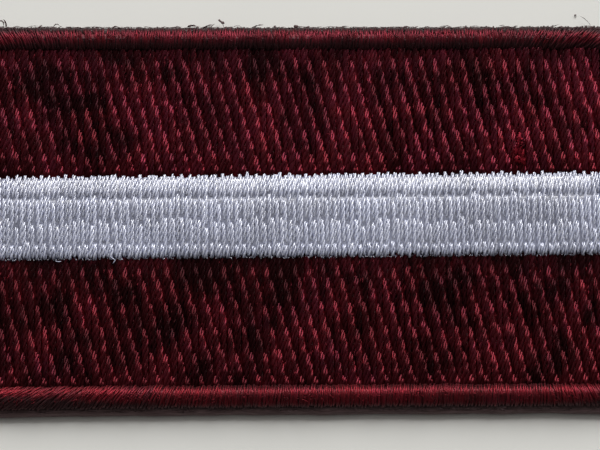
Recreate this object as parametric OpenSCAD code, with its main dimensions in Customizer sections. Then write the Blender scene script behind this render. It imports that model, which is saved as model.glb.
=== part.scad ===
// Embroidered flag patch, lying flat with its stitched face up.
// The origin is the middle of the underside. +X runs along the stripe, +Y is the top of the flag.

/* [Outline] */
// Length over the cut edge of the backing cloth
patch_l = 63.5; // [50:0.5:90]
// Height of the flag over the cut edge, at its two ends
patch_w = 38.1; // [32:0.1:60]
// Radius of the rounded corners
corner_r = 2.8; // [2:0.1:5]
// How far the stitching draws in each long edge at its middle
waist = 0.1; // [0:0.05:0.5]

/* [Backing cloth] */
// Thickness of the stiffened backing cloth
backing_t = 1; // [0.6:0.1:1.5]
// Width of bare cloth left outside the border
cloth_lip = 0.35; // [0.2:0.05:0.8]

/* [Border] */
// Width of the satin stitched border
border_w = 2.2; // [1.5:0.1:3]
// Height of the border's crest over the backing cloth
border_h = 1; // [0.8:0.1:1.5]

/* [Fields and stripe] */
// Thickness of the stitching on the two fields
field_t = 0.55; // [0.3:0.05:0.7]
// Thickness of the stitching on the stripe
stripe_t = 0.75; // [0.4:0.05:0.9]
// Width of the stripe
stripe_w = 7.9; // [5:0.1:12]
// Height of the stripe's middle over the middle of the patch
stripe_rise = 0.1; // [-1:0.1:1]
// Angle at which the stripe climbs towards +X, in degrees
stripe_tilt = 0.3; // [-1:0.05:1]
// Radius that rounds off the edges of each stitched area
edge_r = 0.4; // [0.1:0.05:0.6]
// Gap between neighbouring stitched areas
seam_gap = 0.1; // [0.05:0.05:0.2]

/* [Hidden] */

maroon = "#5a1620";
white = "#a8abbc";
cloth_brown = "#3c2c2c";

// Steps round each corner, along each long edge, over the border and round a stitched area's edge
corner_steps = 6;
edge_steps = 16;
dome_steps = 12;
round_steps = 4;

// Distance from the cut edge to the stitched areas inside the border
area_inset = cloth_lip + border_w + seam_gap;

// Edges of the stripe, each as its height in the middle of the patch and its slope
stripe_slope = tan(stripe_tilt);
stripe_low = [stripe_rise - stripe_w / 2, stripe_slope];
stripe_high = [stripe_rise + stripe_w / 2, stripe_slope];

// Corner radius and corner centre of the outline at an inset from the cut edge
function inset_r(inset) = max(corner_r - inset, 0.1);
function corner_x(inset) = patch_l / 2 - inset - inset_r(inset);
function corner_y(inset) = patch_w / 2 - inset - inset_r(inset);

function corner(side_x, side_y, start, inset) =
    [for (i = [0:corner_steps])
        let (a = start + 90 * i / corner_steps)
        [side_x * corner_x(inset) + inset_r(inset) * cos(a),
         side_y * corner_y(inset) + inset_r(inset) * sin(a)]];

function long_edge(side_y, inset) =
    [for (i = [1:edge_steps - 1])
        [side_y * corner_x(inset) * (1 - 2 * i / edge_steps), side_y * (patch_w / 2 - inset)]];

// The top of the outline from the right side to the left, and the bottom from the left to the right
function top_of_outline(inset) =
    concat(corner(1, 1, 0, inset), long_edge(1, inset), corner(-1, 1, 90, inset));
function bottom_of_outline(inset) =
    concat(corner(-1, -1, 180, inset), long_edge(-1, inset), corner(1, -1, 270, inset));
function outline(inset) = concat(top_of_outline(inset), bottom_of_outline(inset));

// A stripe's edge as the bottom (side 1, left to right) or the top (side -1) of a stitched area
function straight_edge(line, side, inset) =
    let (half = patch_l / 2 - area_inset - inset)
    [for (i = [0:edge_steps])
        let (x = side * half * (2 * i / edge_steps - 1))
        [x, line[0] + line[1] * x + side * inset]];

// A ring of points of the square drawn patch, drawn in by the stitching, at a height
function ring(points, z) =
    [for (p = points)
        let (pull = waist * (1 - pow(2 * p.x / patch_l, 2)))
        [p.x, p.y * (1 - 2 * pull / patch_w), z]];

// Walls from one ring of points to another one of as many points
function walls(count, lower, upper) =
    [for (j = [0:count - 1])
        let (k = (j + 1) % count)
        [lower * count + j, upper * count + j, upper * count + k, lower * count + k]];

// A solid pad: rings from the bottom up, closed by a flat bottom and a flat top
module pad(rings) {
    count = len(rings[0]);
    last = len(rings) - 1;
    bottom = [for (j = [0:count - 1]) j];
    top = [for (j = [0:count - 1]) last * count + count - 1 - j];
    sides = [for (i = [0:last - 1]) each walls(count, i, i + 1)];
    polyhedron([for (r = rings) each r], concat([bottom, top], sides));
}

// A solid loop: rings up its outside, over the crest and down its inside, joined underneath
module closed_loop(rings) {
    count = len(rings[0]);
    sides = [for (i = [0:len(rings) - 1]) each walls(count, i, (i + 1) % len(rings))];
    polyhedron([for (r = rings) each r], sides);
}

// A stitched area on the backing cloth, where edge_at(inset) gives its edge at an inset
module stitched_area(edge_at, thick) {
    drop = min(edge_r, 0.6 * thick);
    foot = ring(edge_at(0), backing_t);
    rounded = [for (i = [0:round_steps])
        let (a = 90 * i / round_steps)
        ring(edge_at(edge_r * (1 - cos(a))), backing_t + thick - drop * (1 - sin(a)))];
    pad(concat([foot], rounded));
}

module backing_cloth() {
    color(cloth_brown)
    linear_extrude(backing_t) polygon([for (p = ring(outline(0), 0)) [p.x, p.y]]);
}

module border() {
    color(maroon)
    closed_loop([for (i = [0:dome_steps])
        let (a = 180 * i / dome_steps)
        ring(outline(cloth_lip + border_w * (1 - cos(a)) / 2), backing_t + border_h * sin(a))]);
}

module upper_field() {
    color(maroon)
    stitched_area(function (inset) concat(top_of_outline(area_inset + inset),
        straight_edge(stripe_high + [seam_gap, 0], 1, inset)), field_t);
}

module white_stripe() {
    color(white)
    stitched_area(function (inset) concat(straight_edge(stripe_high, -1, inset),
        straight_edge(stripe_low, 1, inset)), stripe_t);
}

module lower_field() {
    color(maroon)
    stitched_area(function (inset) concat(bottom_of_outline(area_inset + inset),
        straight_edge(stripe_low - [seam_gap, 0], -1, inset)), field_t);
}

backing_cloth();
border();
upper_field();
white_stripe();
lower_field();
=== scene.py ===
# %% [markdown]
# # An embroidered flag patch, laid thread by thread
#
# The real thing is a small sew-on patch: a stiff woven backing, two dark red areas and a white
# stripe filled with long needle stitches, and a raised satin border sewn close to the edge. At this
# distance every thread shows, with its twisted plies, so the threads are made as shapes and not as
# a picture on a flat face. A short piece of thread is modelled by hand. A stitch list, like the one
# that an embroidery machine reads, then says where each copy of it goes.

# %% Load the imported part
import math
import random

import bpy
from mathutils import Matrix, Vector


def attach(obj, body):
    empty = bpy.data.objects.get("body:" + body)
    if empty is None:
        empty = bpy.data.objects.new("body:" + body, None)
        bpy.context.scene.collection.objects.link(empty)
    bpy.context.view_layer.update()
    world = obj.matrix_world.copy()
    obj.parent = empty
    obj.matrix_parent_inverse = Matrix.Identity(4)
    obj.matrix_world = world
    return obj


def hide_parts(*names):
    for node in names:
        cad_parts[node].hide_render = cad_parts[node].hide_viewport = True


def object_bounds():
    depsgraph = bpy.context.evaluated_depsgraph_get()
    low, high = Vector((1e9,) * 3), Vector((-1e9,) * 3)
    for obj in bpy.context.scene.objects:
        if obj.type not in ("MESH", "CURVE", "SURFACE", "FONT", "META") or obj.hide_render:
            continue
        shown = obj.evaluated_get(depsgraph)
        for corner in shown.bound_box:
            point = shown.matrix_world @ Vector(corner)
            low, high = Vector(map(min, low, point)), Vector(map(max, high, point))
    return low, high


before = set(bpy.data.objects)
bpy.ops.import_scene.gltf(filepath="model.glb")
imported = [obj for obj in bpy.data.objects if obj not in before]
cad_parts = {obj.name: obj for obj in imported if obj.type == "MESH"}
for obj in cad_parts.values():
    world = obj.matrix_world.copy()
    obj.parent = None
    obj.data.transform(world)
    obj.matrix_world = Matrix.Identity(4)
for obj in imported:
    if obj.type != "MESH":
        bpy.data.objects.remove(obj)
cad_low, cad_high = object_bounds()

MM = 0.001
size = (cad_high - cad_low) / MM
print(f"the part is {size.x:.2f} x {size.y:.2f} x {size.z:.2f} mm")
print("its nodes are", sorted(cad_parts))

# %% [markdown]
# ## Camera
#
# The patch was photographed close up with a long lens, almost from above, and turned a little.
# The direction, the roll and the distance were worked out from the straight lines of the stripe
# and the border. A camera looks along its own -Z, so its three axes are worked out first and
# become the columns of its rotation.

# %% Place the camera
def added(name, operator, **how):
    """Adds what the operator makes, with nothing else selected, and names it."""
    bpy.ops.object.select_all(action="DESELECT")
    operator(**how)
    bpy.context.object.name = name
    return bpy.context.object


LOOK_AT = Vector((0, -0.93, 1.2)) * MM
AZIMUTH, ELEVATION, ROLL = (math.radians(a) for a in (-10.51, 75, 9.92))
DISTANCE = 340 * MM
PIXELS_PER_MM, IMAGE_WIDTH, SENSOR = 10.5, 600, 36

away = Vector((math.sin(AZIMUTH) * math.cos(ELEVATION),
               -math.cos(AZIMUTH) * math.cos(ELEVATION), math.sin(ELEVATION)))
right = Vector((math.cos(AZIMUTH), math.sin(AZIMUTH), 0))
above = away.cross(right)
level_x = right * math.cos(ROLL) + above * math.sin(ROLL)
level_y = above * math.cos(ROLL) - right * math.sin(ROLL)

camera = added("camera", bpy.ops.object.camera_add, location=LOOK_AT + away * DISTANCE)
camera.rotation_euler = Matrix((level_x, level_y, away)).transposed().to_euler()
camera.data.lens = SENSOR * PIXELS_PER_MM * DISTANCE / MM / IMAGE_WIDTH
camera.data.clip_start, camera.data.clip_end = 0.01, 10
bpy.context.scene.camera = camera
print(f"camera {DISTANCE / MM:.0f} mm away, lens {camera.data.lens:.1f} mm")

# %% [markdown]
# ## Nodes written as sums
#
# Both the finishes and the stitch layer are node trees. A node tree is long-winded to write out,
# so one small class wraps a socket and makes Python's own operators add the nodes. A sum of two
# numbers becomes a Math node, a sum of two vectors a Vector Math node, and `node` adds any other.

# %% A socket that works in sums
class Wire:
    """A socket of a node tree. Sums on it add the nodes that work them out."""

    def __init__(self, tree, socket=None):
        self.tree, self.socket = tree, socket

    def node(self, kind, settings=None, inputs=None, output=0):
        made = self.tree.nodes.new(kind)
        for name, value in (settings or {}).items():
            setattr(made, name, value)
        for name, value in (inputs or {}).items():
            if isinstance(value, Wire):
                self.tree.links.new(value.socket, made.inputs[name])
            else:
                made.inputs[name].default_value = value
        return Wire(self.tree, made.outputs[output] if len(made.outputs) else None)

    def attribute(self, name, vector=False):
        """A named attribute of the mesh, in a geometry tree."""
        kind = "FLOAT_VECTOR" if vector else "FLOAT"
        return self.node("GeometryNodeInputNamedAttribute", {"data_type": kind}, {"Name": name})

    def work(self, operation, first, second=None):
        vectors = [isinstance(v, Vector) or (isinstance(v, Wire) and v.socket.type == "VECTOR")
                   for v in (first, second)]
        if operation == "MULTIPLY" and vectors[0] != vectors[1]:
            vector, number = (first, second) if vectors[0] else (second, first)
            return self.node("ShaderNodeVectorMath", {"operation": "SCALE"},
                             {0: vector, 3: number})
        inputs = {0: first} if second is None else {0: first, 1: second}
        kind = "ShaderNodeVectorMath" if vectors[0] else "ShaderNodeMath"
        return self.node(kind, {"operation": operation}, inputs)

    def __add__(self, other): return self.work("ADD", self, other)
    def __radd__(self, other): return self.work("ADD", other, self)
    def __sub__(self, other): return self.work("SUBTRACT", self, other)
    def __rsub__(self, other): return self.work("SUBTRACT", other, self)
    def __mul__(self, other): return self.work("MULTIPLY", self, other)
    def __rmul__(self, other): return self.work("MULTIPLY", other, self)
    def __truediv__(self, other): return self.work("DIVIDE", self, other)
    def __rtruediv__(self, other): return self.work("DIVIDE", other, self)
    def __pow__(self, other): return self.work("POWER", self, other)
    def sine(self): return self.work("SINE", self)
    def cosine(self): return self.work("COSINE", self)
    def absolute(self): return self.work("ABSOLUTE", self)
    def sign(self): return self.work("SIGN", self)
    def at_least(self, other): return self.work("MAXIMUM", self, other)
    def at_most(self, other): return self.work("MINIMUM", self, other)
    def between(self, low, high): return self.at_least(low).at_most(high)
    def cross(self, other): return self.work("CROSS_PRODUCT", self, other)
    def unit(self): return self.work("NORMALIZE", self)
    def power_of_e(self): return self.work("EXPONENT", self)

    def scaled(self, number):
        """A colour, brighter by a number. On vectors, * does the same."""
        return self.node("ShaderNodeVectorMath", {"operation": "SCALE"}, {0: self, 3: number})

    def dot(self, other):
        """How far one vector goes along another, a number."""
        return self.node("ShaderNodeVectorMath", {"operation": "DOT_PRODUCT"},
                         {0: self, 1: other}, 1)

    def parts(self):
        """The x, y and z of a vector."""
        return [self.node("ShaderNodeSeparateXYZ", inputs={0: self}, output=i) for i in range(3)]

    def vector(self, x, y, z):
        return self.node("ShaderNodeCombineXYZ", inputs={0: x, 1: y, 2: z})

    def noise(self, scale, detail):
        """Noise at this place, mostly near 0.5. A larger scale gives smaller patches."""
        return self.node("ShaderNodeTexNoise", None,
                         {"Vector": self, "Scale": scale, "Detail": detail})

    def mix(self, first, second):
        """The first colour where this is 0 and the second where it is 1."""
        return self.node("ShaderNodeMix", {"data_type": "RGBA"}, {0: self, 6: first, 7: second}, 2)

    def then(self, kind, **inputs):
        """The next geometry node that this geometry goes through."""
        return self.node("GeometryNode" + kind, None, {"Geometry": self, **inputs})

    def store(self, name, value):
        """This geometry, with a vector stored under a name on each of its points."""
        return self.node("GeometryNodeStoreNamedAttribute", {"data_type": "FLOAT_VECTOR"},
                         {"Geometry": self, "Name": name, "Value": value})

# %% [markdown]
# ## Working in edit mode from code
#
# By hand, a piece is opened in edit mode and some of its edges or faces are picked. In code the
# picking is a yes-or-no question asked of every edge or face, so each step names what it wants by
# place. Everything is deselected first, because an operator acts on all that is selected.

# %% Helpers for picking
def alone(piece):
    """Makes piece the only selected object, and the active one."""
    bpy.ops.object.select_all(action="DESELECT")
    piece.select_set(True)
    bpy.context.view_layer.objects.active = piece
    return piece


def open_with(piece, kind, wanted=lambda item: True):
    """Opens piece in edit mode with the wanted ones of its vertices, edges or polygons selected."""
    alone(piece)
    kinds = ("vertices", "edges", "polygons")
    for name in kinds:
        items = getattr(piece.data, name)
        items.foreach_set("select", [name == kind and bool(wanted(i)) for i in items])
    bpy.context.tool_settings.mesh_select_mode = [kind == name for name in kinds]
    bpy.ops.object.mode_set(mode="EDIT")


def close():
    bpy.ops.object.mode_set(mode="OBJECT")


def apply_modifier(piece, name):
    alone(piece)
    bpy.ops.object.modifier_apply(modifier=name)


def count(piece):
    return f"{piece.name}: {sum(len(p.vertices) - 2 for p in piece.data.polygons)} triangles"

# %% [markdown]
# ## A piece of thread
#
# Embroidery thread is a few plies twisted round each other. A ply is a slim rod: add a cylinder
# lying along Y, cut it across at even steps, and copy it round the thread's axis. The thread stays
# straight and untwisted here, one unit long and two units wide, so that a copy of it can be given
# any length and any thickness. Well over a thousand copies are made of it, so it has only a few
# dozen faces. The border is sewn with a thread of two plies and the areas with a finer one of
# three, and a fibre is a single rod. A curve with a round profile would be quicker to make, but it
# has no plies.

# %% Model a turn of thread
PLY_OFF_AXIS = 0.5


def rod(name, sides, steps, radius, off_axis):
    """A slim open rod along Y, one unit long, cut across into steps."""
    piece = added(name, bpy.ops.mesh.primitive_cylinder_add, vertices=sides, radius=radius, depth=1,
                  end_fill_type="NOTHING", location=(off_axis, 0.5, 0),
                  rotation=(-math.pi / 2, 0, 0))
    bpy.ops.object.transform_apply(location=True, rotation=True, scale=True)
    points = piece.data.vertices
    open_with(piece, "edges",
              lambda e: abs(points[e.vertices[0]].co.y - points[e.vertices[1]].co.y) > 0.5)
    bpy.ops.mesh.subdivide(number_cuts=steps - 1)
    close()
    return piece


def thread_of(name, plies, sides, steps, radius):
    """One turn of thread: a rod, copied round the thread's axis."""
    piece = rod(name, sides, steps, radius, PLY_OFF_AXIS)
    open_with(piece, "polygons")
    for _ in range(plies - 1):
        bpy.ops.mesh.duplicate()
        bpy.ops.transform.rotate(value=2 * math.pi / plies, orient_axis="Y",
                                 center_override=(0, 0, 0))
    close()
    print(f"{len(piece.data.polygons)} faces in {name}")
    return piece


thread = thread_of("two_ply_thread", plies=2, sides=5, steps=5, radius=0.53)
fine_thread = thread_of("three_ply_thread", plies=3, sides=4, steps=4, radius=0.47)
fibre = rod("fibre", sides=4, steps=4, radius=0.5, off_axis=0)

# %% [markdown]
# ## The stitch layer
#
# The stitch list becomes a cloud of points, a few for each stitch, that carry its numbers: how far
# it runs, how high it rises, how thick it is and how it is turned. A Geometry Nodes tree puts a
# piece of thread on every point, makes the copies real, and moves each of their vertices to its
# place: along the run, up the arch, and round the thread's own line by the twist. An Array and a
# Curve modifier on each stitch would give the same shape, but there are about two thousand.

# %% Points from a list of stitches
# A stitch is its start, its end and these numbers: its height, thickness and first turn, how far it
# bows sideways, how bright it is and how steeply it climbs. Lengths are in millimetres.
NUMBERS = (("rise", MM), ("girth", MM), ("turn", 1), ("bow", MM), ("shade", 1), ("climb", 1))


def stitch_points(name, stitches, turns):
    """A cloud of points with the numbers of the stitches, one point for each turn of thread."""
    mesh = bpy.data.meshes.new(name)
    mesh.from_pydata([s[0] * MM for s in stitches for _ in range(turns)], [], [])

    def carry(attribute, values, kind="FLOAT", field="value"):
        mesh.attributes.new(attribute, kind, "POINT").data.foreach_set(field, values)

    carry("run", [c for s in stitches for _ in range(turns) for c in (s[1] - s[0]) * MM],
          "FLOAT_VECTOR", "vector")
    carry("part", [t for s in stitches for t in range(turns)])
    for index, (attribute, unit) in enumerate(NUMBERS, start=2):
        carry(attribute, [s[index] * unit for s in stitches for _ in range(turns)])
    piece = bpy.data.objects.new(name, mesh)
    bpy.context.scene.collection.objects.link(piece)
    return piece


# %% Helpers for shaping with nodes
MERGE_WITHIN = 1e-6


def shaping_tree(name):
    """A tree that shapes a piece, with one way in and one way out."""
    tree = bpy.data.node_groups.new(name, "GeometryNodeTree")
    for way in ("INPUT", "OUTPUT"):
        tree.interface.new_socket("Geometry", in_out=way, socket_type="NodeSocketGeometry")
    return Wire(tree)


def shape(piece, geometry, place, merged=False):
    """Ends a tree: the geometry, with its points moved to place, becomes the mesh of piece."""
    shaped = geometry.then("SetPosition", Position=place)
    if merged:
        shaped = shaped.then("MergeByDistance", Distance=MERGE_WITHIN)
    geometry.node("NodeGroupOutput", None, {0: shaped.then("SetShadeSmooth")})
    piece.modifiers.new("shape", "NODES").node_group = geometry.tree
    apply_modifier(piece, "shape")
    bpy.data.node_groups.remove(geometry.tree)


# %% Lay copies along a list of stitches
# The copies are shorter near the start of a stitch, where it bends most, and the heading of a
# thread is measured between two places this part of a stitch before and after.
CROWDING, NUDGE = 1.35, 0.01


def lay_threads(name, stitches, master, turns, arch, twist, pinch, hill=None,
                flattened=(1.1, 0.85)):
    """Copies of master along the stitches, turns of them in each.

    arch gives the way along and up, hill a swelling under it, and twist the mm in which the plies
    go round once. pinch thins the ends, and flattened is the width and height of the section.
    """
    stitches = list(stitches)
    piece = stitch_points(name, stitches, turns)
    wires = shaping_tree(name)
    here = wires.node("GeometryNodeInputPosition")
    one = wires.node("GeometryNodeObjectInfo", None, {"Object": master}, "Geometry")
    copies = wires.node("GeometryNodeInstanceOnPoints", None, {
        "Points": wires.node("NodeGroupInput"), "Instance": one.store("lay", here)})
    copies = copies.then("RealizeInstances")

    lay, run = wires.attribute("lay", True), wires.attribute("run", True)
    across, step, through = lay.parts()
    girth, bow = wires.attribute("girth"), wires.attribute("bow")
    side = run.cross(Vector((0, 0, 1))).unit()
    length = wires.node("ShaderNodeVectorMath", {"operation": "LENGTH"}, {0: run}, 1)

    def middle(along):
        """The place on the thread's own line."""
        reach, lift = arch(along, length, wires.attribute("rise"), wires.attribute("climb"))
        place = here - lay + run * reach + side * (bow * (along * math.pi).sine())
        if hill:
            lift = lift + hill(*place.parts()[:2])
        return place + wires.vector(0, 0, lift)

    along = ((wires.attribute("part") + step) / turns) ** CROWDING
    ahead = (middle(along + NUDGE) - middle(along - NUDGE)).unit()
    outward = side.cross(ahead)
    turn = wires.attribute("turn") - along * length * (2 * math.pi / (twist * MM))
    closed = (along * (1 - along) - 1e-5).sign().at_least(0)
    waist = girth * (1 - pinch * (2 * along - 1).absolute() ** 6) * closed
    a = (across * turn.cosine() - through * turn.sine()) * flattened[0]
    b = (across * turn.sine() + through * turn.cosine()) * flattened[1]
    place = middle(along) + side * (a * waist) + outward * (b * waist)
    strand = wires.vector(a, along * length / MM, b)
    shape(piece, copies.store("thread_way", ahead).store("strand", strand), place, merged=True)
    for used in ("lay", "run", "part", "rise", "girth", "turn", "bow", "climb"):
        piece.data.attributes.remove(piece.data.attributes[used])
    print(f"{len(stitches)} stitches, {count(piece)}")
    return piece

# %% [markdown]
# ## How a stitch arches
#
# A red stitch comes out of its needle hole on a straight ramp and then sinks slowly to the next
# hole. The ramp is what shines, because a thread mirrors the window only where it is tilted towards
# it, and so the rows of short bright strokes come about. A white stitch comes up steeply and stays
# level. A satin stitch of the border climbs gently on its inner side and drops steeply at its outer
# one, and a loose fibre is a plain bow. Each arch is a formula for the way along and the height, so
# that one node tree serves all of them. Curves drawn by hand would need a tree for each.

# %% Arches
SINKING, RAMP_TOP = 1.8, 0.12
SHOULDER_IN, SHOULDER_OUT, LEAN_OUT = 1.3, 0.6, 1.25


def long_arch(along, length, rise, climb):
    return along, rise * (1 - (1 - along).at_least(0) ** climb) * (1 - along ** SINKING)


def ramp_arch(along, length, rise, climb):
    sinking = rise * (1 - along ** SINKING)
    return along, along.node("ShaderNodeMath", {"operation": "SMOOTH_MIN"},
                             {0: along * length * climb, 1: sinking, 2: RAMP_TOP * MM})


def loose_arch(along, length, rise, climb):
    return along, rise * (along * (1 - along) * 4)


def round_arch(along, length, rise, climb):
    angle = along * math.pi
    shoulder = SHOULDER_IN + along * (SHOULDER_OUT - SHOULDER_IN)
    height = (along.at_least(0) ** LEAN_OUT * math.pi).sine().at_least(0)
    return (1 - angle.cosine()) * 0.5, rise * height ** shoulder

# %% [markdown]
# ## Beds under the stitches
#
# Under the top stitches there is more thread, packed flat, and nobody sees the cloth through it. A
# copy of the part's own solid, merged, made a little wider or thinner and pressed lower, gives a
# stitched area a bed that follows its outline. Drawing the outline again, from a plane, would only
# risk a mismatch.

# %% Beds from the part's solids
BACKING_TOP = 1.0


def bed_from(node, thinner, keep=1):
    """A copy of a node's solid, thinner all round by mm and pressed to keep of its height."""
    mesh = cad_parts[node].data.copy()
    mesh.materials.clear()
    bed = bpy.data.objects.new(node + "_bed", mesh)
    bpy.context.scene.collection.objects.link(bed)
    open_with(bed, "vertices")
    bpy.ops.mesh.remove_doubles(threshold=MERGE_WITHIN)
    bpy.ops.transform.shrink_fatten(value=-thinner * MM)
    bpy.ops.transform.resize(value=(1, 1, keep), center_override=(0, 0, BACKING_TOP * MM))
    close()
    return bed


def joined(piece, other):
    alone(piece)
    other.select_set(True)
    bpy.ops.object.join()
    print(count(piece))
    return piece

# %% [markdown]
# ## The filled areas
#
# A fill is columns of thread side by side. Each column is one long run of equal stitches, and the
# needle holes of the next column are a part of a stitch further on, so that the holes line up in
# slanting rows. The machine sews down one column and back up the next, which draws them together
# in pairs. Holes, heights and thicknesses vary a little, from a fixed random seed. An Array
# modifier would be quicker, but it repeats the same stitch without a fault.

# %% Columns of filling stitches
STRIPE_LOW, STRIPE_HIGH = -3.85, 4.05
STRIPE_SLOPE = math.tan(math.radians(0.3))
FIELD_TOP, FIELD_BOTTOM, FIELD_SIDE = 16.385, -16.385, 29.1
NEAR_END, STEADIER = 1.5, 0.3
FULL_RISE_FROM = 1.6

# Each group of pieces starts from a seed of its own, so a change in one leaves the others alone.
FILL_SEED, BORDER_SEED, FIBRE_SEED = 11, 5, 7
chance = random.Random()
uniform = chance.uniform


def wander(spread):
    """A number round 0, mostly less than the spread from it."""
    return chance.gauss(0, spread)


def columns(pitch, shift, length, hole_zero, low_at, high_at, shortest, looks, stray, paired=0):
    """Stitches of a fill, column by column. Each two columns are paired, nearer to each other.

    low_at and high_at give the ends of column k at x, and looks turns a place into a stitch. The
    holes stray by chance, less near the lower end, and none is nearer to an end than shortest.
    """
    number = int(2 * FIELD_SIDE / pitch)
    for k in range(number + 1):
        x = pitch * (k - number / 2)
        low, high = low_at(x, k), high_at(x, k)
        first = hole_zero + shift * length * k
        first += length * math.ceil((low + shortest[0] - first) / length)
        holes = []
        while first < high - shortest[1]:
            steady = STEADIER if first - low < NEAR_END else 1
            holes.append(first + wander(stray) * steady)
            first += length
        ends = [low, *holes, high]
        beside = x + (paired if k % 2 == 0 else -paired)
        for lower, upper in zip(ends, ends[1:]):
            yield looks(beside, lower, upper)


def flatter(long):
    """How much less a short stitch rises."""
    return min(1, long / FULL_RISE_FROM) ** 0.5


def holes_at(x, lower, upper, spread, height):
    """The upper and the lower end of a stitch, a little beside x."""
    return [Vector((x + wander(spread), y, height)) for y in (upper, lower)]


def yarn(girth, thinner, thicker):
    """The thickness, first turn and bow of a stitch."""
    return girth * uniform(thinner, thicker), uniform(0, math.pi), wander(0.03)

# %% [markdown]
# ## The two red areas
#
# Here the holes shift by a quarter of a stitch from column to column, which gives steep diagonals.
# The thread is looser in some places. Low in each area, in the upper area and towards its right,
# the thread is painted brighter, as painted light where it catches more of the window. Slow waves
# over the patch vary height and brightness, because chance alone, stitch by stitch, would look like
# static. The stitches run on under the border and the stripe, as they do on the real patch. A noise
# node could vary them too, but the list of stitches is made before any node is.

# %% How a red stitch looks
RED_PITCH, RED_LENGTH, RED_GIRTH, RED_SHIFT = 0.3357, 4.73, 0.275, -0.25
RED_RISE, RED_LOOSER, RED_UNEVEN = 0.44, 0.1, 0.05
RAMP, PAIRED = 0.34, 0.058
UNDER_BORDER, UNDER_STRIPE = 0.6, 0.42
SNAG_X, SNAG_ROWS, SNAG_BRIGHTER = 21.2, (5.6, 9.4), 2


def patchy(x, y, seed):
    """A slow wave from -1 to 1 over the patch, for places where the stitching is looser."""
    return (math.sin(x * 0.61 + seed) + math.sin(x * 0.23 - y * 0.35 + 2 * seed)
            + math.sin(x * 1.13 + y * 0.2 + 3 * seed)) / 3


def painted_light_at(x, y):
    """Painted light: how much brighter the thread is drawn low in each area, in the upper one and
    towards its right.
    """
    middle = (FIELD_TOP + STRIPE_HIGH) / 2 if y > 0 else (FIELD_BOTTOM + STRIPE_LOW) / 2
    return 0.7 * (middle - y) / 6 + (0.2 + 0.5 * x / FIELD_SIDE if y > 0 else -0.3)


def red_stitch(x, lower, upper):
    # The brightness of a stitch adds painted light, more of it low in each area, to chance and a
    # slow wave.
    bright = chance.random() + painted_light_at(x, (upper + lower) / 2) + 0.3 * patchy(x, upper, 4)
    if abs(x - SNAG_X) < 0.5 and SNAG_ROWS[0] < upper < SNAG_ROWS[1]:
        bright += SNAG_BRIGHTER
    under_stripe = STRIPE_LOW < upper < STRIPE_HIGH
    covered = UNDER_BORDER if upper > FIELD_TOP else UNDER_STRIPE if under_stripe else 1
    higher = 1 + 0.1 * x / FIELD_SIDE
    ends = holes_at(x, lower, upper, 0.02, BACKING_TOP)
    rise = RED_RISE + RED_LOOSER * patchy(x, upper, 1.3) + wander(RED_UNEVEN)
    rise = rise * higher * covered * flatter(upper - lower)
    return (*ends, rise, *yarn(RED_GIRTH, 0.94, 1.1), bright, RAMP + wander(0.05))


# %% Lay the two red areas
def red_field(node, hole_zero, low_at, high_at):
    """Red stitches on a bed of packed thread."""
    stitches = columns(RED_PITCH, RED_SHIFT, RED_LENGTH, hole_zero, low_at, high_at,
                       shortest=(0.35, 0.8), looks=red_stitch, stray=0.15, paired=PAIRED)
    field = lay_threads(node + "_stitches", stitches, fine_thread, turns=3, arch=ramp_arch,
                        twist=2.4, pinch=0.6)
    return joined(field, bed_from(node, thinner=-1, keep=0.08))


chance.seed(FILL_SEED)
upper_field = red_field("upper_field", 13.4, lambda x, k: STRIPE_HIGH - 0.1 + STRIPE_SLOPE * x,
                        lambda x, k: FIELD_TOP + 1.3)
lower_field = red_field("lower_field", -8.4, lambda x, k: FIELD_BOTTOM - 0.5,
                        lambda x, k: STRIPE_LOW + 0.7 + STRIPE_SLOPE * x)

# %% [markdown]
# ## The white stripe
#
# In the stripe the holes are half a stitch apart from column to column, as in a brick wall. The
# stripe is padded: it swells from its upper edge, which makes that edge the brightest, and its
# lower edge drops into shadow. One formula gives the swelling. It lifts the stitches and shapes the
# smooth layer of thread under them, a grid with a small node tree, so that the two always fit. The
# swelling could be sculpted, but then only one of them would have it.

# %% How the white stripe swells
HILL, HILL_TOP_RUN, HILL_LOW_RUN, HILL_BEND = 0.31, 1.9, 0.5, 1.1
DIP, DIP_AT, DIP_WIDTH = 0.1, 1.85, 0.4


def stripe_hill(x, y):
    """How the stripe swells: steadily from its upper edge, then with a slight dip."""
    top = (STRIPE_HIGH + 0.1) * MM + x * STRIPE_SLOPE
    low = (STRIPE_LOW - 0.4) * MM + x * STRIPE_SLOPE
    from_top = ((top - y) * (1 / (HILL_TOP_RUN * MM))).between(0, 1)
    from_low = ((y - low) * (1 / (HILL_LOW_RUN * MM))).between(0, 1)
    across_dip = (y - (DIP_AT * MM + x * STRIPE_SLOPE)) * (1 / (DIP_WIDTH * MM))
    height = (1 - (1 - from_top) ** HILL_BEND) * (1 - (1 - from_low) ** 2) * (HILL * MM)
    return height - DIP * MM * (1 / (across_dip * across_dip + 1) ** 2)


# %% Lay the white stripe
WHITE_PITCH, WHITE_LENGTH, WHITE_GIRTH, WHITE_SHIFT = 0.3935, 4.62, 0.24, 0.5
WHITE_RISE, LAST_RISE, WHITE_UNEVEN = 0.22, 0.3, 0.04
WHITE_FOOT = BACKING_TOP + 0.1


def white_stitch(x, lower, upper):
    long = upper - lower
    at_edge = upper > STRIPE_HIGH - 0.3
    ends = holes_at(x, lower, upper, 0.05, WHITE_FOOT)
    last = long < 1.4 and not at_edge
    rise = (LAST_RISE if last else WHITE_RISE) * flatter(long) + wander(WHITE_UNEVEN)
    climb = 2 if at_edge else 5 if last else 9 * min(1, long / 3)
    return (*ends, rise, *yarn(WHITE_GIRTH, 0.9, 1.05), uniform(0.3, 0.7), climb)


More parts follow.
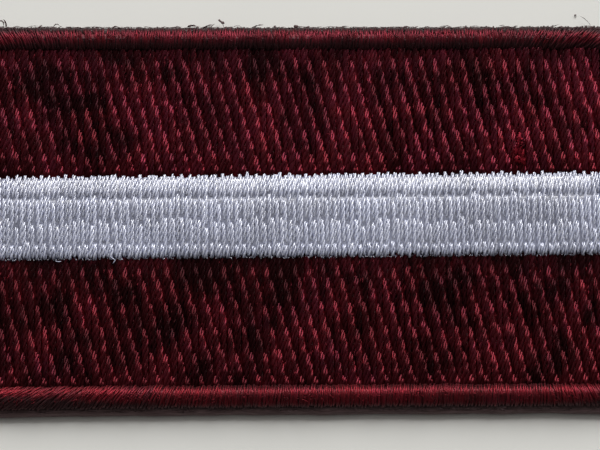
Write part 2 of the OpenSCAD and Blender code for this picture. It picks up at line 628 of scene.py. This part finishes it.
# Every other column ends a little higher.
white_stitches = columns(
    WHITE_PITCH, WHITE_SHIFT, WHITE_LENGTH, 1.75,
    lambda x, k: STRIPE_LOW - 0.33 + STRIPE_SLOPE * x + wander(0.04),
    lambda x, k: STRIPE_HIGH - 0.06 + STRIPE_SLOPE * x + 0.25 * (k % 2) + wander(0.09),
    shortest=(0.8, 0.8), looks=white_stitch, stray=0.28)
white_stripe = lay_threads("white_stripe_stitches", white_stitches, fine_thread, turns=4,
                           arch=long_arch, twist=2.2, pinch=0.25, hill=stripe_hill,
                           flattened=(1.05, 0.9))

# %% Lay the bed of the white stripe
BED_ABOVE, BED_THICK = 0.22, 0.1


def slab(name, cells, half, layers, layer):
    """A grid with the given half sides, extruded upwards in layers, each so many mm thick."""
    piece = added(name, bpy.ops.mesh.primitive_grid_add, x_subdivisions=cells[0],
                  y_subdivisions=cells[1], size=2)
    piece.scale = (half[0] * MM, half[1] * MM, 1)
    bpy.ops.object.transform_apply(location=True, rotation=True, scale=True)
    open_with(piece, "polygons")
    for _ in range(layers):
        bpy.ops.mesh.extrude_region_move(TRANSFORM_OT_translate={"value": (0, 0, layer * MM)})
    bpy.ops.mesh.select_all(action="SELECT")
    bpy.ops.mesh.normals_make_consistent(inside=False)
    close()
    return piece


half_width = 0.5 * (STRIPE_HIGH - STRIPE_LOW) - 0.15
bed = slab("white_bed", (40, 24), (FIELD_SIDE, half_width), 1, -BED_THICK)
wires = shaping_tree("hill")
x, y, z = wires.node("GeometryNodeInputPosition").parts()
y = y + x * STRIPE_SLOPE + (0.5 * (STRIPE_HIGH + STRIPE_LOW) - 0.1) * MM
place = wires.vector(x, y, z + stripe_hill(x, y) + (BACKING_TOP + BED_ABOVE) * MM)
shape(bed, wires.node("NodeGroupInput"), place)
joined(white_stripe, bed)

# %% [markdown]
# ## The satin border
#
# The border is one dense row of short stitches that climb over a rounded core, close to the cut
# edge. A foot of a stitch is given by how far round the patch it is and how far in from the
# outline. A path made from a curve could give the same places, but not as plainly the two rows of
# feet, which have different lengths round a corner.

# %% Feet of the border stitches
PATCH_HALF = (31.75, 19.05)
CORNER, LIP, BORDER_WIDTH, WAIST = 2.8, 0.35, 2.2, 0.1
THREAD_IN = 0.15
BORDER_RISE = 0.87
INNER_FOOT = LIP + BORDER_WIDTH - THREAD_IN
SATIN_PITCH, SATIN_GIRTH = 0.285, 0.165


def foot(side, s, inset):
    """The point s mm round from the middle of a side, on the outline at an inset."""
    radius = CORNER - inset
    half_long, half_out = (PATCH_HALF[side % 2] - inset, PATCH_HALF[1 - side % 2] - inset)
    straight = half_long - radius
    along, out = abs(s), half_out
    if along > straight:
        angle = (along - straight) / radius
        along = straight + radius * math.sin(angle)
        out = half_out - radius * (1 - math.cos(angle))
    along = math.copysign(along, s)
    x, y = ((along, out), (out, -along), (-along, -out), (-out, along))[side]
    pull = WAIST * (1 - (x / PATCH_HALF[0]) ** 2)
    return Vector((x, y * (1 - pull / PATCH_HALF[1]), BACKING_TOP))


def reach_of(side, inset):
    """From the middle of a side to the middle of its corner, round the outline at an inset."""
    return PATCH_HALF[side % 2] - CORNER + (CORNER - inset) * math.pi / 4

# %% [markdown]
# ## Fanning round the corners
#
# Along the sides the stitches lie straight across. Round a corner there is more edge outside than
# inside, so they fan out, and the machine starts to lean them long before the corner. The outer
# foot therefore runs ahead of the inner one, by a lean that grows towards the corner and then
# settles to square at its middle. It was measured near the four corners of the photo. An Array
# along a curve would hold every stitch at the same angle to it.

# %% Lay the border
# How far ahead the outer foot gets near each corner, and over what length. A corner is named by its
# side, clockwise from the upper one, and by the end of that side.
FANS = {(0, 1): (2.4, 12), (2, -1): (1.6, 9), (2, 1): (3.3, 24), (0, -1): (2.0, 12)}
SIDE_FAN = (2.0, 10)
LEAN_GROWS, SETTLES_OVER = 1.3, 3
OUTER_FOOT = (0.16, 0.3, 0.3, 0.3)
FOOT_LIFT = Vector((0, 0, 0.3))


def outer_foot(side, s, end_reach):
    """The inset of the outer foot, which changes smoothly from side to side."""
    near = max(0, abs(s) / end_reach - 0.8) / 0.2
    other = OUTER_FOOT[(side + (1 if s > 0 else -1)) % 4]
    return OUTER_FOOT[side] + (other - OUTER_FOOT[side]) * 0.5 * near ** 2


def border_stitches():
    for side in range(4):
        inner_end = reach_of(side, INNER_FOOT)
        number = round(2 * inner_end / SATIN_PITCH)
        for k in range(number):
            s = inner_end * (2 * (k + 0.5) / number - 1)
            outer = outer_foot(side, s, inner_end)
            outer_end = reach_of(side, outer)
            end = math.copysign(1, s)
            ahead, over = FANS.get((side, int(end)), SIDE_FAN)
            left = inner_end - abs(s)
            lean = ahead * max(0, 1 - left / over) ** LEAN_GROWS
            settle = min(1, left / SETTLES_OVER)
            settle = settle * settle * (3 - 2 * settle)
            lean = lean * settle + (outer_end - inner_end) * (1 - settle)
            start = foot(side, s + wander(0.05), INNER_FOOT + wander(0.04))
            finish = foot(side, min(abs(s) + lean, outer_end) * end + wander(0.06),
                          outer + wander(0.04))
            yield (start + FOOT_LIFT, finish - FOOT_LIFT, BORDER_RISE + wander(0.06),
                   *yarn(SATIN_GIRTH, 0.85, 1.15), uniform(0.1, 0.9), 0)


chance.seed(BORDER_SEED)
border = lay_threads("border_stitches", border_stitches(), thread, turns=2, arch=round_arch,
                     twist=2.2, pinch=0.2)
joined(border, bed_from("border", thinner=0.2))

# %% [markdown]
# ## The backing
#
# The backing is a stiff twill cloth, cut with a hot knife that melts its edge into a smooth,
# slightly wavy rim. It starts as a fine grid, extruded upwards in three layers. A node tree crowds
# the outer cells together, rounds the corners, curls the rim and raises the slanting ribs of the
# twill underneath. The stitches hide its top, so the middle of that is made one face. The
# Solidify modifier would do instead of the extrusion, but it makes a ragged wall on a wavy rim.

# %% Lay out the backing
BACKING_CELL, CROWDED, HIDDEN_FROM = 0.2, 0.8, 1.2

half = [side + CROWDED for side in PATCH_HALF]
backing = slab("backing_twill", [round(2 * side / BACKING_CELL) for side in half], half, 3,
               BACKING_TOP / 3)
hidden = [(side - HIDDEN_FROM) * MM for side in PATCH_HALF]
open_with(backing, "polygons", lambda p: p.normal.z > 0.5 and abs(p.center.x) < hidden[0]
          and abs(p.center.y) < hidden[1])
bpy.ops.mesh.dissolve_faces()
close()
print(count(backing))

# %% Stripes for the twill
RIB, RIB_HEIGHT, CLOTH_THREAD = 0.8, 0.07, 0.33


def stripes(place, width):
    """Soft stripes between 0 and 1, one in each width of the place."""
    return (place * (2 * math.pi / width)).sine() * 0.5 + 0.5


# %% Crowd the outer cells, so that the rim has enough of them
wires = shaping_tree("hot_cut")
x, y, z = (part / MM for part in wires.node("GeometryNodeInputPosition").parts())
up = z / BACKING_TOP
gap_x, gap_y = ((half + CROWDED - part.absolute()).at_least(0)
                for half, part in zip(PATCH_HALF, (x, y)))
inset_x, inset_y = (gap - (1 - (gap * (-1 / CROWDED)).power_of_e()) * CROWDED
                    for gap in (gap_x, gap_y))
inset = inset_x.at_most(inset_y)
far_x, far_y = PATCH_HALF[0] - inset_x, PATCH_HALF[1] - inset_y

# %% Turn the square corners into round ones
u = (far_x - (PATCH_HALF[0] - CORNER)).at_least(0) / CORNER
v = (far_y - (PATCH_HALF[1] - CORNER)).at_least(0) / CORNER
diagonal = ((u * u + v * v) ** 0.5).at_least(1e-6)
round_off = 1 - u.at_most(v).sign() * (1 - u.at_least(v) / diagonal)
far_x = far_x - u * (1 - round_off) * CORNER
far_y = far_y - v * (1 - round_off) * CORNER

# %% Make the outline wavy and curl the rim
RIM_REACH, RIM_DROP, RIM_UNDER = 0.5, 0.4, 0.25
WAVE, WAVE_LENGTH, WAVE_FADE = 0.16, 5, 0.6
RAGGED_SCALE, RAGGED_LIFT = 2.2, 0.12
CUT_WIDER, CUT_LOWER = 0.08, 0.13

place = wires.vector(x, y, up * 0.4)
slow, ragged = place.noise(1 / WAVE_LENGTH, 1.0), place.noise(RAGGED_SCALE, 2.0)
wave = (slow - 0.5) * (2 * WAVE) + (ragged - 0.5) * (0.6 * WAVE)
wave = wave + up * (1 - up) * 0.2
fade_x, fade_y = ((part * (-1 / WAVE_FADE)).power_of_e() for part in (inset_x, inset_y))
far_x = far_x + wave * fade_x
far_y = far_y + (wave + CUT_WIDER - y.sign() * CUT_LOWER) * fade_y
over = 1 - (inset / RIM_REACH).at_most(1)
curl = 1 - (1 - over * over) ** 0.5
under = curl * RIM_UNDER + stripes(x + y, RIB) * (inset * 1.5).at_most(1) * RIB_HEIGHT
height = under + (BACKING_TOP - curl * RIM_DROP - under) * up
height = height + (ragged - 0.5) * (RAGGED_LIFT * over) * (up * (1 - up) * 4 + up * 0.5)
far_y = far_y * (1 - (1 - (x / PATCH_HALF[0]) ** 2) * (WAIST / PATCH_HALF[1]))

cloth = wires.node("NodeGroupInput").store("rim", wires.vector(x + y, inset, height))
shape(backing, cloth, wires.vector(x.sign() * far_x, y.sign() * far_y, height) * MM)
print(f"backing {2 * PATCH_HALF[0]} x {2 * PATCH_HALF[1]} mm, a rib every {RIB} mm of its edge")

# %% [markdown]
# ## Loose fibres
#
# A used patch is never clean. Ends of cut cloth lie along the rim, single filaments have come loose
# from the border, and a few longer hairs stand out over the upper edge. They are laid by the same
# tool as the stitches, from a single slim rod, and each one joins the piece that it grows out of. A
# hair system would scatter them faster, but it can't put the larger ones where the real ones lie.

# %% Helpers for fibres
def hair(start, end, girth, bow, rise, shade):
    return (Vector(start), Vector(end), rise, girth, 0, bow, shade, 0)


def grow(piece, name, hairs, **looks):
    """Lays hairs, each a single rod, and joins them to the piece that they grow out of."""
    joined(piece, lay_threads(name, hairs, fibre, turns=1, arch=loose_arch, twist=1, pinch=0.6,
                              **looks))


def places(inset, per_mm, sides=range(4), spare=0):
    """Chance places along the outline at an inset, each a side and how far from its middle."""
    for side in sides:
        reach = reach_of(side, inset) - spare
        for _ in range(int(2 * reach * per_mm)):
            yield side, uniform(-reach, reach)


def on_border(side, s, inset, above):
    """A place on the border's threads, above them by so many millimetres."""
    reach = (INNER_FOOT - inset) / (INNER_FOOT - OUTER_FOOT[side])
    along = math.acos(1 - 2 * min(1, max(0, reach))) / math.pi
    shoulder = SHOULDER_IN + along * (SHOULDER_OUT - SHOULDER_IN)
    place = foot(side, s, inset) + FOOT_LIFT * (1 - 2 * reach)
    height = BORDER_RISE * math.sin(along ** LEAN_OUT * math.pi) ** shoulder
    place.z += height + SATIN_GIRTH * 0.8 + above
    return place


# %% Kinds of fibres
def rim_fuzz():
    """Short ends of the cut cloth, most of them lying along the rim."""
    for side, s in places(0.1, per_mm=5):
        long = uniform(0.3, 1.4)
        start = foot(side, s, chance.gauss(0.12, 0.06))
        start.z += uniform(-0.2, 0.0)
        end = foot(side, s + long, chance.gauss(0.08, 0.09))
        end.z += uniform(-0.2, 0.03)
        yield hair(start, end, uniform(0.05, 0.09), wander(0.05), 0.03, uniform(0, 0.35))


def crest_fuzz():
    """Filaments that have come loose and lie over the border at all angles."""
    for side, s in places(INNER_FOOT, per_mm=4, spare=1):
        inset, slant = uniform(0.75, 1.7), wander(0.9)
        long = uniform(0.1, 0.35)
        ends = [on_border(side, s + way * long * math.sin(slant),
                          inset + way * long * math.cos(slant),
                          uniform(-0.02, 0.05)) for way in (-1, 1)]
        yield hair(*ends, uniform(0.05, 0.09), wander(0.05), 0.07, chance.random())


def lip_fuzz():
    """Filaments that lie along the outer ends of the upper side's stitches."""
    for side, s in places(0.4, per_mm=5, sides=(0,)):
        inset, long = uniform(0.22, 0.4), uniform(0.2, 0.6)
        ends = [foot(side, s + way * long, inset + wander(0.03)) for way in (-1, 1)]
        for end in ends:
            end.z += 0.15 + 1.1 * (inset - 0.22)
        yield hair(*ends, uniform(0.07, 0.12), wander(0.04), 0.03, uniform(0.3, 1))


def slope_fuzz():
    """Single filaments that stand away from the outer slope of the border."""
    for side, s in places(1, per_mm=1.6):
        inset = uniform(0.65, 1.25)
        root = foot(side, s, inset + 0.35) + Vector((0, 0, 0.9 - 0.35 * (1.25 - inset)))
        tip = foot(side, s + chance.gauss(0.05, 0.08), inset)
        tip.z = root.z + 0.06
        # A shade of 1 draws them in the lightest thread colour, a painted highlight for filaments
        # that catch the light.
        yield hair(root, tip, uniform(0.04, 0.07), 0, 0.04, 1)


# %% Fuzz of the border and the rim
# Hairs and tufts at the upper edge: start, end, thickness and bow.
EDGE_HAIRS = (
    ((-28.9, 19.55, 1), (-28.25, 19.0, 0.95), 0.16, -0.35),
    ((-28.0, 18.9, 1), (-28.3, 19.75, 1.1), 0.2, 0.1),
    ((-25.1, 18.75, 1), (-24.5, 19.15, 1.1), 0.13, 0),
    ((-23.5, 18.95, 1), (-22.8, 19.05, 1), 0.11, -0.25),
    ((-10.6, 18.95, 1), (-9.6, 19.0, 1), 0.24, -0.1),
    ((-9.1, 18.8, 1), (-8.1, 19.15, 1.1), 0.15, -0.06),
    ((-8.4, 18.85, 1), (-7.9, 19.25, 1.1), 0.07, 0),
    ((-4.4, 18.8, 1), (-3.15, 19.12, 1.1), 0.14, -0.1),
    ((-2.2, 18.85, 1), (-2.0, 19.05, 1), 0.24, 0),
    ((-0.3, 19.0, 1), (0.25, 18.95, 1), 0.26, 0),
    ((0.9, 18.85, 1), (1.3, 18.95, 1), 0.2, 0),
    ((10.2, 18.8, 1), (10.9, 18.95, 1), 0.14, -0.05),
    ((28.6, 19.0, 0.95), (27.6, 20.25, 0.35), 0.06, 0.12),
    ((27.35, 20.4, 0.1), (27.1, 20.32, 0.1), 0.16, 0),
    ((-7.55, 19.85, 0.5), (-7.2, 19.45, 0.7), 0.2, 0),
    ((-7.3, 19.5, 0.7), (-6.95, 19.38, 0.75), 0.27, 0),
    ((-7.15, 19.45, 0.7), (-7.05, 18.9, 0.9), 0.07, 0),
)
chance.seed(FIBRE_SEED)
edge_hairs = [hair(*ends_girth_and_bow, 0.05, 0.05) for ends_girth_and_bow in EDGE_HAIRS]
grow(backing, "rim_ends", [*rim_fuzz(), *lip_fuzz(), *edge_hairs])
grow(border, "border_fuzz", [*crest_fuzz(), *slope_fuzz()])

# %% [markdown]
# ## Fuzz of the filled areas
#
# The filling stitches shed less. Here and there a filament stands up, its upper end down, so that
# it shines. At one place the red thread was snagged, and its filaments lie over the rows, flattened
# to ribbons, with brighter stitches round them. A fringe of short white fibres softens the stripe's
# lower edge. Nodes could scatter them too, but not put the snag where the real one is.

# %% Fuzz of the filled areas
FIELD_HAIRS, SNAG_HAIRS, WHITE_HAIRS = 260, 22, 350


def field_fuzz(low_y, high_y):
    """Filaments that stand up from the filling stitches, their upper ends down."""
    for _ in range(FIELD_HAIRS):
        x, y = uniform(-FIELD_SIDE + 0.3, FIELD_SIDE - 0.3), uniform(low_y, high_y)
        long = uniform(0.35, 0.8)
        root = (x, y, BACKING_TOP + 0.52)
        tip = (x + chance.gauss(-0.1, 0.08), y - long, BACKING_TOP + 0.58 + 0.1 * long)
        yield hair(root, tip, uniform(0.05, 0.08), wander(0.04), 0.04, chance.random())


SNAG_TOP, SNAG_BOTTOM = Vector((SNAG_X - 0.05, 8.5, 1.66)), Vector((SNAG_X + 0.05, 4.5, 1.66))
snag = []
for _ in range(SNAG_HAIRS):
    down = chance.random() ** 0.7
    beside = Vector((wander(0.04 + 0.25 * down), 0, 0))
    root = SNAG_TOP.lerp(SNAG_BOTTOM, down * 0.7) + beside
    way = Vector((wander(0.05), -1, 0.06)) * uniform(1.0, 1.7)
    snag.append(hair(root, root + way, uniform(0.25, 0.4), wander(0.04), 0.03, 4))
grow(upper_field, "snag", snag, flattened=(1.6, 0.35))
grow(upper_field, "upper_fuzz", [*field_fuzz(STRIPE_HIGH + 0.8, FIELD_TOP - 0.2),
                                 hair((2.6, 7.95, 1.75), (3.4, 7.88, 1.75), 0.07, 0.03, 0.02, 2)])
grow(lower_field, "lower_fuzz", field_fuzz(FIELD_BOTTOM + 0.5, STRIPE_LOW - 0.5))
white_hairs = []
for _ in range(WHITE_HAIRS):
    x, long = uniform(-FIELD_SIDE, FIELD_SIDE), uniform(0.12, 0.4)
    start = Vector((x, STRIPE_LOW + STRIPE_SLOPE * x - 0.1, 1.25))
    white_hairs.append(hair(start, start + Vector((wander(0.12), -long, 0.15)),
                            uniform(0.03, 0.06), wander(0.04), 0.05, 0.5))
white_hairs += [hair((-18.1, -4.0, 1.6), (-17.55, -4.4, 1.7), 0.1, 0.03, 0.03, 1),
                hair((-17.55, -4.4, 1.7), (-17.85, -4.78, 1.6), 0.1, 0.0, 0.02, 1),
                hair((-23.3, -4.4, 1.55), (-22.6, -4.45, 1.6), 0.08, 0.1, 0.02, 1)]
grow(white_stripe, "white_hairs", white_hairs)

# %% [markdown]
# ## Finish of the thread
#
# Embroidery thread is a bundle of smooth coloured filaments, so it shines in a streak across the
# bundle, and the shine has the thread's colour. An anisotropic shine could do that, but it spreads
# along a ply. Here the direction of the thread, which the stitch layer stored, is used to level the
# normal along and across each ply, so that a whole ply lights up at once. A high metallic value
# colours the shine of the red threads. Painted shade darkens the grooves between plies, so the
# crown of a ply is lighter, and slow noise changes tone and hue from place to place. As painted
# light, the crowns lean to the lighter of two colours towards the lower side, which gives the lit
# lower band of the border a brighter red. The feet of the border are darkened and greyed: the
# outer ones by dust and painted shade, the inner ones along the upper side by painted shade below
# the border's crest.

# %% Helpers for finishes
def finish_tree(name):
    material = bpy.data.materials.new(name)
    material.use_nodes = True
    material.node_tree.nodes.clear()
    return material, Wire(material.node_tree)


def surface(wires, inputs):
    shader = wires.node("ShaderNodeBsdfPrincipled", None, inputs)
    wires.node("ShaderNodeOutputMaterial", None, {"Surface": shader})


def stored(wires, name, output="Vector"):
    """What the shaping stored on each point."""
    return wires.node("ShaderNodeAttribute", {"attribute_name": name}, None, output)


def place_in_mm(wires):
    return wires.node("ShaderNodeTexCoord", None, None, "Object") * (1 / MM)


# %% Thread finish
def thread_finish(name, dark, light, other, metallic, roughness, parallel, level, patches, painted_groove_shade,
                  painted_groove_shade_from, coat, sheen=0.0, ior=1.5, glow=0.0, dust_and_shade=None):
    """Thread that is dark in its grooves, by painted shade, and between light and other on its
    crowns.

    parallel and level flatten the normal along and across it, and patches changes its brightness
    from place to place. A share of the tone comes from a ply's own height, painted shade that
    darkens the grooves between plies. Towards the lower side of the patch the crowns lean to light
    and towards the upper side to other, as painted light. A colour for the feet, if given, darkens
    the border's
    feet: dust and painted shade at the outer ones, painted shade at the inner ones of the upper
    side.
    """
    material, wires = finish_tree(name)
    across, along, through = stored(wires, "strand").parts()
    shade, way = stored(wires, "shade", "Fac"), stored(wires, "thread_way")
    streak = wires.vector(across * 5, along * 0.7 + shade * 40, through * 5).noise(1.0, 2.0)
    point = place_in_mm(wires)
    patch = point.noise(0.3, 1.0)
    hue = (point + wires.vector(shade * 3, 0, 0)).noise(0.4, 1.0)
    y = point.parts()[1]
    upper = y * (1 / PATCH_HALF[1])

    tone = (0.2 + (streak - 0.4) * 1.2).between(0, 1) * (1 - painted_groove_shade)
    # Painted shade: the low parts of each ply, down in the grooves between plies, get a darker
    # tone.
    tone = tone + ((through - painted_groove_shade_from) * 2.5).between(0, 1) * painted_groove_shade
    # Painted light: towards the lower side the crown colour leans to light and towards the upper
    # side to other, so the lit lower band of the border is a brighter red.
    light = ((hue - 0.4) * 4 + upper * 0.5).between(0, 1).mix(light, other)
    evenness = (1 + (patch - 0.5) * patches + (shade - 0.5) * 0.6).between(0.3, 2)
    colour = tone.between(0, 1).mix(dark, light).scaled(evenness)
    if dust_and_shade:
        # The outer feet all round, darker and greyer by dust and painted shade, and the inner ones
        # along the upper side, darker by painted shade below the border's crest.
        near = (1.3 - (y - (PATCH_HALF[1] - LIP - BORDER_WIDTH)).absolute()).between(0, 1)
        feet = ((along - 1.5) * 2.5).at_least(((1 - along) * 2.5 * near).at_most(0.65))
        colour = feet.between(0, 0.85).mix(colour, dust_and_shade)

    normal = wires.node("ShaderNodeNewGeometry", None, None, "Normal")
    side = way.cross(Vector((0, 0, 1))).unit()
    normal = normal - way * (normal.dot(way) * parallel) - side * (normal.dot(side) * level)
    bump = wires.node("ShaderNodeBump", None, {"Height": streak, "Strength": 0.1,
                                               "Distance": 0.02 * MM, "Normal": normal.unit()})
    surface(wires, {
        "Base Color": colour, "Roughness": roughness + streak * 0.1, "Metallic": metallic,
        "IOR": ior, "Coat Weight": coat, "Coat Roughness": 0.12, "Coat IOR": 1.9,
        "Sheen Weight": sheen, "Subsurface Weight": glow, "Subsurface Radius": (1, 1, 1),
        "Subsurface Scale": 0.3 * MM, "Normal": bump})
    return material


# %% The three threads
red_thread = thread_finish(
    "maroon_thread", dark=(0.039, 0.0001, 0.0015, 1), light=(0.061, 0.0085, 0.0122, 1),
    other=(0.059, 0.0088, 0.0165, 1), metallic=0.76, roughness=0.28, parallel=0.8, level=0.5,
    patches=3.2, painted_groove_shade=0.55, painted_groove_shade_from=0.2, coat=0.01, ior=1.22)
border_thread = thread_finish(
    "border_thread", dark=(0.07, 0.002, 0.006, 1), light=(0.187, 0.003, 0.01, 1),
    other=(0.15, 0.009, 0.023, 1), metallic=0.8, roughness=0.34, parallel=0.75, level=0.2,
    patches=1.0, painted_groove_shade=0.2, painted_groove_shade_from=0.0, coat=0.025, sheen=0.05,
    dust_and_shade=(0.028, 0.012, 0.014, 1))
white_thread = thread_finish(
    "white_thread", dark=(0.235, 0.255, 0.38, 1), light=(0.71, 0.75, 0.9, 1),
    other=(0.68, 0.73, 0.9, 1), metallic=0.05, roughness=0.23, parallel=0.5, level=0.4,
    patches=0.7, painted_groove_shade=0.58, painted_groove_shade_from=0.36, coat=0.3, ior=2.1, glow=0.5)

# %% [markdown]
# ## Finish of the backing
#
# The cloth is dark and dull, with fine threads across each rib of the twill. Where the hot knife
# melted it, it is smoother and lighter, and streaked along the edge. The node tree that shaped it
# has stored how far in every point is, and that distance mixes the two. The rim could be painted by
# hand, but then it would have to be painted again after each change of shape.

# %% Backing finish
backing_cloth, wires = finish_tree("backing_cloth")
round_edge, inset, height = stored(wires, "rim").parts()
point = place_in_mm(wires)
x, y = point.parts()[:2]
melted = 1 - ((inset - 0.4) * 2.5).between(0, 1)
smear = wires.vector(round_edge * 0.5, inset * 8, height * 11).noise(1.0, 3.0)
twill = stripes(x * 0.5 - y * 0.5, CLOTH_THREAD) * stripes(x + y, RIB)
weave = twill * 0.6 + point.noise(1.2, 4.0) * 0.4
cloth = weave.mix((0.012, 0.005, 0.005, 1), (0.07, 0.028, 0.026, 1))
rim = ((smear - 0.35) * 2.2).between(0, 1).mix((0.068, 0.037, 0.039, 1),
                                               (0.17, 0.11, 0.112, 1))
bump = wires.node("ShaderNodeBump", None, {"Height": smear * melted + weave * (1 - melted),
                                           "Strength": 0.5, "Distance": 0.05 * MM})
surface(wires, {"Base Color": melted.mix(cloth, rim), "Specular IOR Level": 0.3,
                "Roughness": 0.85 - melted * 0.3 + smear * 0.1, "Normal": bump})

for piece, material in ((upper_field, red_thread), (lower_field, red_thread),
                        (white_stripe, white_thread), (border, border_thread),
                        (backing, backing_cloth)):
    piece.data.materials.clear()
    piece.data.materials.append(material)
    print(f"{piece.name} is finished as {material.name}")

# %% [markdown]
# ## Floor and light
#
# The patch lies on pale matt card. One large window beyond it gives the bright upper slopes and the
# soft shadow below the lower edge. Two weaker lights stand for pale walls on the left and right,
# and the world for the rest of the room. A bright world alone would be simpler, but it lights the
# grooves as much as the crowns, and the thread loses its relief.

# %% Floor and light
floor = added("pale_floor", bpy.ops.mesh.primitive_plane_add, size=1.6)
pale, pale_wires = finish_tree("pale_floor")
faint = place_in_mm(pale_wires).noise(0.05, 2.0)
surface(pale_wires, {"Base Color": faint.mix((0.72, 0.73, 0.7, 1), (0.76, 0.77, 0.74, 1)),
                     "Roughness": 0.9})
floor.data.materials.append(pale)


def soft_light(name, direction, distance, width, height, watts, colour):
    """A rectangle of light, so many metres away, that faces the patch."""
    direction = Vector(direction).normalized()
    light = added(name, bpy.ops.object.light_add, type="AREA", location=direction * distance)
    light.rotation_euler = direction.to_track_quat("Z", "Y").to_euler()
    light.data.shape = "RECTANGLE"
    light.data.size, light.data.size_y = width, height
    light.data.energy = watts
    light.data.color = colour


soft_light("window", (0.1, 0.755, 0.643), distance=0.8, width=0.5, height=0.53, watts=6.5,
           colour=(1.0, 0.99, 0.98))
for name, side in (("left wall", -0.85), ("right wall", 0.85)):
    soft_light(name, (side, 0.45, 0.5), distance=0.9, width=0.8, height=0.7, watts=1.8,
               colour=(1.0, 0.95, 0.92))
world = bpy.data.worlds.new("room")
bpy.context.scene.world = world
world.use_nodes = True
world.node_tree.nodes["Background"].inputs["Color"].default_value = (1.0, 0.95, 0.93, 1)
world.node_tree.nodes["Background"].inputs["Strength"].default_value = 0.13
bpy.context.scene.view_settings.view_transform = "Standard"

# %% [markdown]
# ## What each piece is
#
# The part has a node for every piece, a body that moves it and a slot for its finish. Each visual
# piece is attached to the root body, and the node of the part that it takes the place of is hidden.

# %% Attach each piece and hide the node it replaces
for master in (thread, fine_thread, fibre):
    bpy.data.objects.remove(master)
for piece, node, slot in ((backing, "backing_cloth", "backing"),
                          (border, "border", "border_thread"),
                          (upper_field, "upper_field", "maroon_thread"),
                          (lower_field, "lower_field", "maroon_thread"),
                          (white_stripe, "white_stripe", "white_thread")):
    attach(piece, "root")
    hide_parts(node)
